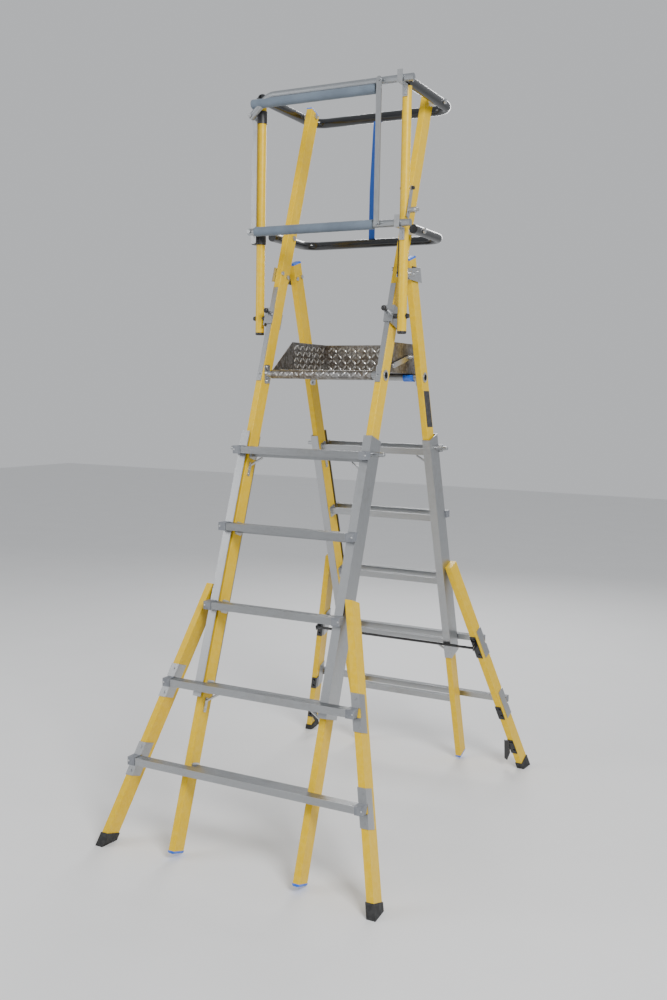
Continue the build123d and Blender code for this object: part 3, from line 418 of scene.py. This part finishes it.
def finishes():
    """Every material, by the record's slot name."""
    look, _ = settings()
    aluminium = tuple(look.aluminium)
    return {
        "grp_yellow": yellow_resin(),
        "ribbed_aluminium": metal("ribbed_aluminium", aluminium, (0.24, 0.40), (0.5, 40.0, 40.0)),
        "mill_aluminium": metal(
            "mill_aluminium", tuple(c * 1.1 for c in aluminium), (0.30, 0.44), (30.0, 30.0, 0.6)),
        "chequer_aluminium": chequer_metal(),
        # Chequer bars: a paler metal than the plate, a painted highlight on the raised bars that also stands
        # for their rubbed tops.
        "chequer_bars": metal("rubbed_and_highlit_chequer_bars", (0.66, 0.66, 0.65), (0.22, 0.36), (20.0, 20.0, 20.0)),
        "zinc_steel": metal("zinc_plated_steel", (0.58, 0.59, 0.60), (0.26, 0.42), (12.0, 12.0, 12.0)),
        "black_steel": coated(
            "black_coated_tube", (0.006, 0.007, 0.009), (0.16, 0.26), (0.02, 0.02, 0.02), coat=0.4),
        "grey_steel_tube": metal("dull_galvanised_tube", (0.42, 0.44, 0.46), (0.36, 0.52), (2.0, 30.0, 30.0)),
        "blue_plastic": coated(
            "blue_moulding", tuple(look.blue), (0.28, 0.42), (0.30, 0.45, 0.75), coat=0.15),
        "grey_plastic": coated("grey_moulding", (0.17, 0.18, 0.20), (0.40, 0.56), (0.34, 0.35, 0.36)),
        "black_plastic": coated("black_moulding", (0.016, 0.016, 0.018), (0.35, 0.5), (0.12, 0.12, 0.12)),
        "black_rubber": coated(
            "black_rubber", (0.014, 0.014, 0.014), (0.6, 0.8), (0.10, 0.10, 0.10), grain_size=400.0, bump=0.3),
        "white_nylon": coated("white_nylon", (0.72, 0.72, 0.69), (0.35, 0.5), (0.80, 0.80, 0.78)),
        "grey_foam": foam_skin(),
        "blue_webbing": webbing(),
    }


MATERIALS = {}


def paint(piece, slot_name):
    """Gives a piece one finish."""
    piece.data.materials.clear()
    piece.data.materials.append(MATERIALS[slot_name])


# ---------------------------------------------------------------- piece helpers
def finish_piece(mesh, name, body, slot_name, smooth_angle=35.0, look=None):
    """Turns a bmesh into a named, painted piece that rides on a body."""
    bmesh.ops.remove_doubles(mesh, verts=mesh.verts, dist=1e-6)
    bmesh.ops.recalc_face_normals(mesh, faces=mesh.faces)
    data = bpy.data.meshes.new(name)
    mesh.to_mesh(data)
    mesh.free()
    piece = bpy.data.objects.new(name, data)
    bpy.context.scene.collection.objects.link(piece)
    paint(piece, look or slot_name)
    data.polygons.foreach_set("use_smooth", [True] * len(data.polygons))
    data.set_sharp_from_angle(angle=radians(smooth_angle))
    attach(piece, body)
    return piece


def turned_profile(mesh, profile, centre, axis, segments=24):
    """Spins an (radius, height) outline round an axis through a centre and closes it."""
    axis = Vector(axis).normalized()
    side = axis.orthogonal().normalized()
    centre = Vector(centre)
    start = [mesh.verts.new(centre + side * r + axis * h) for r, h in profile]
    edges = [mesh.edges.new(pair) for pair in zip(start, start[1:])]
    bmesh.ops.spin(mesh, geom=start + edges, cent=centre, axis=axis, angle=2 * pi,
                   steps=segments, use_merge=True)


def domed_head(mesh, centre, axis, radius, height):
    """A pan head with a rounded rim."""
    profile = [(1e-5, 0.0), (radius, 0.0), (radius, height * 0.45), (radius * 0.86, height * 0.8),
               (radius * 0.5, height), (1e-5, height)]
    turned_profile(mesh, profile, centre, axis, 16)


# ---------------------------------------------------------------- places on the frame
def plate_cells(low, high, pitch):
    """Centres of the raised bars on a plate, and which way each one leans."""
    columns = max(1, int((high[0] - low[0]) / pitch))
    rows = max(1, int((high[1] - low[1]) / pitch))
    for i in range(columns):
        for j in range(rows):
            u = low[0] + (i + 0.5) * (high[0] - low[0]) / columns
            v = low[1] + (j + 0.5) * (high[1] - low[1]) / rows
            yield u, v, 1 if (i + j) % 2 else -1


def chequer(mesh, plane, low, high, level, up, pitch, length, rise):
    """Rows of raised bars on a flat face.

    plane gives the two axes of the face, level its height on the third, up its outward side."""
    third = 3 - plane[0] - plane[1]
    for u, v, lean in plate_cells(low, high, pitch):
        turn = lean * pi / 4
        verts = []
        for share, width in ((0.0, 0.0), (0.25, 0.16), (0.75, 0.16), (1.0, 0.0)):
            along = (share - 0.5) * length
            for side in ((-1, 1) if width else (0,)):
                point = [0.0, 0.0, 0.0]
                point[plane[0]] = u + along * cos(turn) - side * width * length * sin(turn)
                point[plane[1]] = v + along * sin(turn) + side * width * length * cos(turn)
                point[third] = level
                verts.append(mesh.verts.new(point))
        ring = [verts[0], verts[1], verts[3], verts[5], verts[4], verts[2]]
        face = mesh.faces.new(ring)
        made = bmesh.ops.extrude_face_region(mesh, geom=[face])
        raised = [item for item in made["geom"] if isinstance(item, bmesh.types.BMVert)]
        centre = sum((item.co for item in raised), Vector()) / len(raised)
        for item in raised:
            item.co = centre + (item.co - centre) * 0.72
            item.co[third] = level + up * rise


# ---------------------------------------------------------------- pieces
class PieceOperator:
    """What every piece operator shares."""

    bl_options = {"REGISTER", "UNDO"}

    def execute(self, context):
        """Makes the piece; an error here stops the script."""
        self.make(context)
        return {"FINISHED"}


class LADDER_OT_frame_finish(PieceOperator, bpy.types.Operator):
    """Give every carried-over part of the frame its finish"""

    bl_idname = "ladder.frame_finish"
    bl_label = "Finish the frame"

    def make(self, context):
        MATERIALS.update(finishes())
        slots = {part["node"]: part["material_slot"] for part in frame["record"]["subparts"]}
        for name, piece in NODES.items():
            paint(piece, slots[name])


class LADDER_OT_chequer_plates(PieceOperator, bpy.types.Operator):
    """Raise the chequer bars on the deck, its nosing and the toe boards"""

    bl_idname = "ladder.chequer_plates"
    bl_label = "Chequer bars"

    def make(self, context):
        _, sizes = settings()
        pitch, length, rise = sizes.chequer_pitch, sizes.chequer_length, sizes.chequer_rise
        deck_low, deck_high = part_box("deck_plate")
        board_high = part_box("toe_boards")[1]
        edge = 8.0 * MM
        mesh = bmesh.new()
        chequer(mesh, (0, 1), (deck_low.x + 12 * MM, -0.176), (deck_high.x - 12 * MM, 0.226),
                DECK_TOP, 1.0, pitch, length, rise)
        finish_piece(mesh, "deck_chequer", "platform", "chequer_aluminium", 20.0, "chequer_bars")
        mesh = bmesh.new()
        radius = NOSING_CENTRE[0] - deck_low.y
        chequer(mesh, (0, 1), (deck_low.x + 12 * MM, -radius * 0.9), (deck_high.x - 12 * MM, radius * 1.2),
                0.0, 1.0, pitch, length * 0.8, rise * 0.6)
        wrap_on_nosing(mesh, *NOSING_CENTRE, radius)
        finish_piece(mesh, "nosing_chequer", "platform", "chequer_aluminium", 20.0, "chequer_bars")
        mesh = bmesh.new()
        top = board_high.z - edge
        floor = deck_high.z + edge
        wall = board_high.y - PLATE
        chequer(mesh, (0, 2), (deck_low.x + 12 * MM, floor), (deck_high.x - 12 * MM, top), wall, -1.0,
                pitch, length, rise)
        for side in (-1.0, 1.0):
            face = side * (board_high.x - PLATE)
            chequer(mesh, (1, 2), (-0.03, floor), (board_high.y - 12 * MM, top), face, -side,
                    pitch, length, rise)
        finish_piece(mesh, "toe_board_chequer", "platform", "chequer_aluminium", 20.0, "chequer_bars")


def wrap_on_nosing(mesh, centre_y, centre_z, radius):
    """Wraps a flat sheet of bars, laid out in x and y at height zero, round the nosing's front."""
    for vert in mesh.verts:
        angle = vert.co.y / radius
        reach = radius + vert.co.z
        vert.co.y = centre_y - reach * cos(angle)
        vert.co.z = centre_z + reach * sin(angle)


class LADDER_OT_foam_sleeves(PieceOperator, bpy.types.Operator):
    """Make the two foam sleeves of the gate"""

    bl_idname = "ladder.foam_sleeves"
    bl_label = "Foam sleeves"

    def make(self, context):
        for name, body in (("gate_low_foam", "gate_lower"), ("gate_top_foam", "gate_upper")):
            low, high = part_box(name)
            radius = (high.y - low.y) / 2
            centre = (low + high) / 2
            mesh = bmesh.new()
            bore = radius * 0.735
            profile = [(bore, 0.0), (radius - 3 * MM, 0.0), (radius - 0.9 * MM, 0.9 * MM), (radius, 3 * MM)]
            steps = 44
            span = high.x - low.x
            for index in range(1, steps):
                height = 3 * MM + (span - 6 * MM) * index / steps
                swell = 0.35 * MM * sin(index * 1.7) * sin(index * 0.63)
                profile.append((radius - 0.35 * MM + swell, height))
            profile += [(radius, span - 3 * MM), (radius - 0.9 * MM, span - 0.9 * MM),
                        (radius - 3 * MM, span), (bore, span), (bore, 0.0)]
            turned_profile(mesh, profile, (low.x, centre.y, centre.z), (1, 0, 0), 32)
            piece = finish_piece(mesh, f"{name}_sleeve", body, "grey_foam", 60.0)
            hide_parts(name)


def bar_loop(bar, thick, begin, end):
    """The webbing's middle line round a bar, as (y, z) points between two angles."""
    (y, z), bar_radius = bar
    radius = bar_radius + thick * 0.75
    angles = [begin + (end - begin) * index / 24 for index in range(25)]
    return [(y + radius * cos(angle), z + radius * sin(angle)) for angle in angles]


class LADDER_OT_strap(PieceOperator, bpy.types.Operator):
    """Make the webbing strap with its two sewn loops"""

    bl_idname = "ladder.strap"
    bl_label = "Safety strap"

    def make(self, context):
        _, sizes = settings()
        low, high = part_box("safety_strap")
        mid = (low.x + high.x) / 2
        half = min(sizes.strap_width, high.x - low.x) / 2
        thick = sizes.strap_thickness
        upper = bar_loop(TOP_BAR, thick, -0.42 * pi, 1.02 * pi)
        lower = bar_loop(MIDDLE_BAR, thick, 1.08 * pi, 2.42 * pi)
        (y0, z0), (y1, z1) = upper[-1], lower[0]
        down = [(y0 + (y1 - y0) * k / 12, z0 + (z1 - z0) * k / 12) for k in range(1, 12)]
        points = upper + down + lower
        points = [(min(max(y, low.y), high.y), min(max(z, low.z), high.z)) for y, z in points]
        mesh = bmesh.new()
        shares = (-1.0, -0.5, 0.0, 0.5, 1.0)
        rows = [[mesh.verts.new((mid + share * half, y, z)) for share in shares] for y, z in points]
        uv = mesh.loops.layers.uv.new("UVMap")
        run = [0.0]
        for first, second in zip(points, points[1:]):
            run.append(run[-1] + hypot(first[0] - second[0], first[1] - second[1]))
        for index, (first, second) in enumerate(zip(rows, rows[1:])):
            for column in range(4):
                face = mesh.faces.new((first[column], first[column + 1], second[column + 1], second[column]))
                corners = ((column, index), (column + 1, index), (column + 1, index + 1), (column, index + 1))
                for loop, (u, v) in zip(face.loops, corners):
                    loop[uv].uv = (u * half / 2, run[v])
        bmesh.ops.recalc_face_normals(mesh, faces=mesh.faces)
        bmesh.ops.solidify(mesh, geom=mesh.faces[:], thickness=thick)
        piece = finish_piece(mesh, "webbing_strap", "mid_rail", "blue_webbing", 50.0)
        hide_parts("safety_strap")
        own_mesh(piece)


def stile_patch(mesh, side, face, low_z, high_z, width):
    """A thin plain label on a leaning rear stile's side face."""
    corners = []
    for z in (low_z, high_z):
        middle = STILE_FOOT_Y - z * STILE_SLOPE - STILE_MIDDLE
        for share in ((-1, 1) if z == low_z else (1, -1)):
            corners.append(mesh.verts.new((side * face, middle + share * width / 2, z)))
    patch = mesh.faces.new(corners)
    made = bmesh.ops.extrude_face_region(mesh, geom=[patch])
    for item in made["geom"]:
        if isinstance(item, bmesh.types.BMVert):
            item.co.x += side * 0.4 * MM


class LADDER_OT_labels(PieceOperator, bpy.types.Operator):
    """Put the plain label on the right rear stile"""

    bl_idname = "ladder.labels"
    bl_label = "Plain label"

    def make(self, context):
        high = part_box("rear_stile_right")[1]
        mesh = bmesh.new()
        stile_patch(mesh, 1.0, high.x, 1.516, 1.660, 54 * MM)
        finish_piece(mesh, "rear_label", "rear_frame", "black_plastic")


class LADDER_OT_rivets(PieceOperator, bpy.types.Operator):
    """Add a domed rivet to each tread end cap"""

    bl_idname = "ladder.rivets"
    bl_label = "Rivets"

    def make(self, context):
        caps = ((True, "front_tread_caps", "front_base"), (False, "rear_tread_caps", "rear_base"))
        for front, name, body in caps:
            source = NODES[name]
            probe = bmesh.new()
            probe.from_mesh(source.data)
            bmesh.ops.remove_doubles(probe, verts=probe.verts, dist=1e-5)
            mesh = bmesh.new()
            waiting = set(probe.verts)
            while waiting:
                group, queue = [], [waiting.pop()]
                while queue:
                    here = queue.pop()
                    group.append(here.co)
                    for edge in here.link_edges:
                        other = edge.other_vert(here)
                        if other in waiting:
                            waiting.remove(other)
                            queue.append(other)
                centre = sum(group, Vector()) / len(group)
                face = min(c.y for c in group) if front else max(c.y for c in group)
                near = [c for c in group if abs(c.y - face) < 0.5 * MM]
                spot = sum(near, Vector()) / len(near)
                way = -1.0 if front else 1.0
                domed_head(mesh, (spot.x, face - way * 0.6 * MM, centre.z), (0, way, 0), 3.4 * MM, 1.6 * MM)
            probe.free()
            finish_piece(mesh, f"{name}_rivets", body, "zinc_steel", 40.0)


class LADDER_OT_stage(PieceOperator, bpy.types.Operator):
    """Set the floor, the lights and the camera"""

    bl_idname = "ladder.stage"
    bl_label = "Stage"

    def make(self, context):
        mesh = bmesh.new()
        bmesh.ops.create_grid(mesh, x_segments=8, y_segments=8, size=14.0)
        data = bpy.data.meshes.new("floor")
        mesh.to_mesh(data)
        mesh.free()
        floor = bpy.data.objects.new("floor", data)
        bpy.context.scene.collection.objects.link(floor)
        ground = Finish("pale_floor", Roughness=0.75, Specular_IOR_Level=0.2)
        spots = noise(ground.tree, stretched(ground.tree, (1, 1, 1)), 3.0, 3.0)
        ground.colour(mix_colour(ground.tree, spots, (0.78, 0.78, 0.78), (0.82, 0.82, 0.82)))
        data.materials.append(ground.material)

        world = bpy.data.worlds.new("studio")
        world.use_nodes = True
        world.node_tree.nodes["Background"].inputs["Color"].default_value = (0.92, 0.94, 0.97, 1.0)
        world.node_tree.nodes["Background"].inputs["Strength"].default_value = 0.62
        context.scene.world = world
        aim = Vector((0.0, 0.0, 1.5))
        for name, place, energy, size in (
                ("key_light", (3.6, -3.0, 4.2), 260.0, 1.8),
                ("fill_light", (-3.8, -3.0, 2.6), 70.0, 2.4),
                ("back_light", (-1.0, 4.0, 3.6), 110.0, 2.0)):
            lamp = bpy.data.lights.new(name, "AREA")
            lamp.energy = energy
            lamp.size = size
            holder = bpy.data.objects.new(name, lamp)
            holder.location = place
            holder.rotation_euler = (aim - Vector(place)).to_track_quat("-Z", "Y").to_euler()
            context.scene.collection.objects.link(holder)

        yaw, pitch, roll = 0.473936, -0.087298, 0.018702
        ahead = Vector((-sin(yaw) * cos(pitch), cos(yaw) * cos(pitch), sin(pitch)))
        right = Vector((cos(yaw), sin(yaw), 0.0))
        up = right.cross(ahead)
        across = cos(roll) * right + sin(roll) * up
        above = -sin(roll) * right + cos(roll) * up
        lens = bpy.data.cameras.new("camera")
        lens.sensor_width = 36.0
        lens.lens = 37.62
        lens.shift_x = -0.0118
        lens.shift_y = -0.0155
        lens.clip_end = 100.0
        camera = bpy.data.objects.new("camera", lens)
        turn = Matrix((across, above, -ahead)).transposed()
        camera.matrix_world = Matrix.Translation((1.88636, -3.65001, 1.6461)) @ turn.to_4x4()
        context.scene.collection.objects.link(camera)
        context.scene.camera = camera


OPERATORS = (
    LADDER_OT_frame_finish,
    LADDER_OT_chequer_plates,
    LADDER_OT_foam_sleeves,
    LADDER_OT_strap,
    LADDER_OT_labels,
    LADDER_OT_rivets,
    LADDER_OT_stage,
)


class LADDER_PT_panel(bpy.types.Panel):
    """The ladder's pieces and settings"""

    bl_idname = "LADDER_PT_panel"
    bl_label = "Platform Step Ladder"
    bl_space_type = "VIEW_3D"
    bl_region_type = "UI"
    bl_category = "Ladder"

    def draw(self, context):
        """Draws the settings and a button for each piece."""
        for group in (context.scene.ladder_finish, context.scene.ladder_sizes):
            box = self.layout.box()
            for name in group.bl_rna.properties.keys():
                if name not in {"rna_type", "name"}:
                    box.prop(group, name)
        for operator in OPERATORS:
            self.layout.operator(operator.bl_idname)


CLASSES = (LadderFinish, LadderSizes, *OPERATORS, LADDER_PT_panel)


def register():
    """Registers the classes and the scene's settings."""
    for made in CLASSES:
        bpy.utils.register_class(made)
    bpy.types.Scene.ladder_finish = bpy.props.PointerProperty(type=LadderFinish)
    bpy.types.Scene.ladder_sizes = bpy.props.PointerProperty(type=LadderSizes)


def unregister():
    """Takes the classes and the settings away again."""
    del bpy.types.Scene.ladder_finish
    del bpy.types.Scene.ladder_sizes
    for made in reversed(CLASSES):
        bpy.utils.unregister_class(made)


def main():
    """Builds the finished ladder."""
    register()
    bpy.ops.ladder.frame_finish()
    bpy.ops.ladder.chequer_plates()
    bpy.ops.ladder.foam_sleeves()
    bpy.ops.ladder.strap()
    bpy.ops.ladder.labels()
    bpy.ops.ladder.rivets()
    bpy.ops.ladder.stage()


if __name__ == "__main__":
    main()
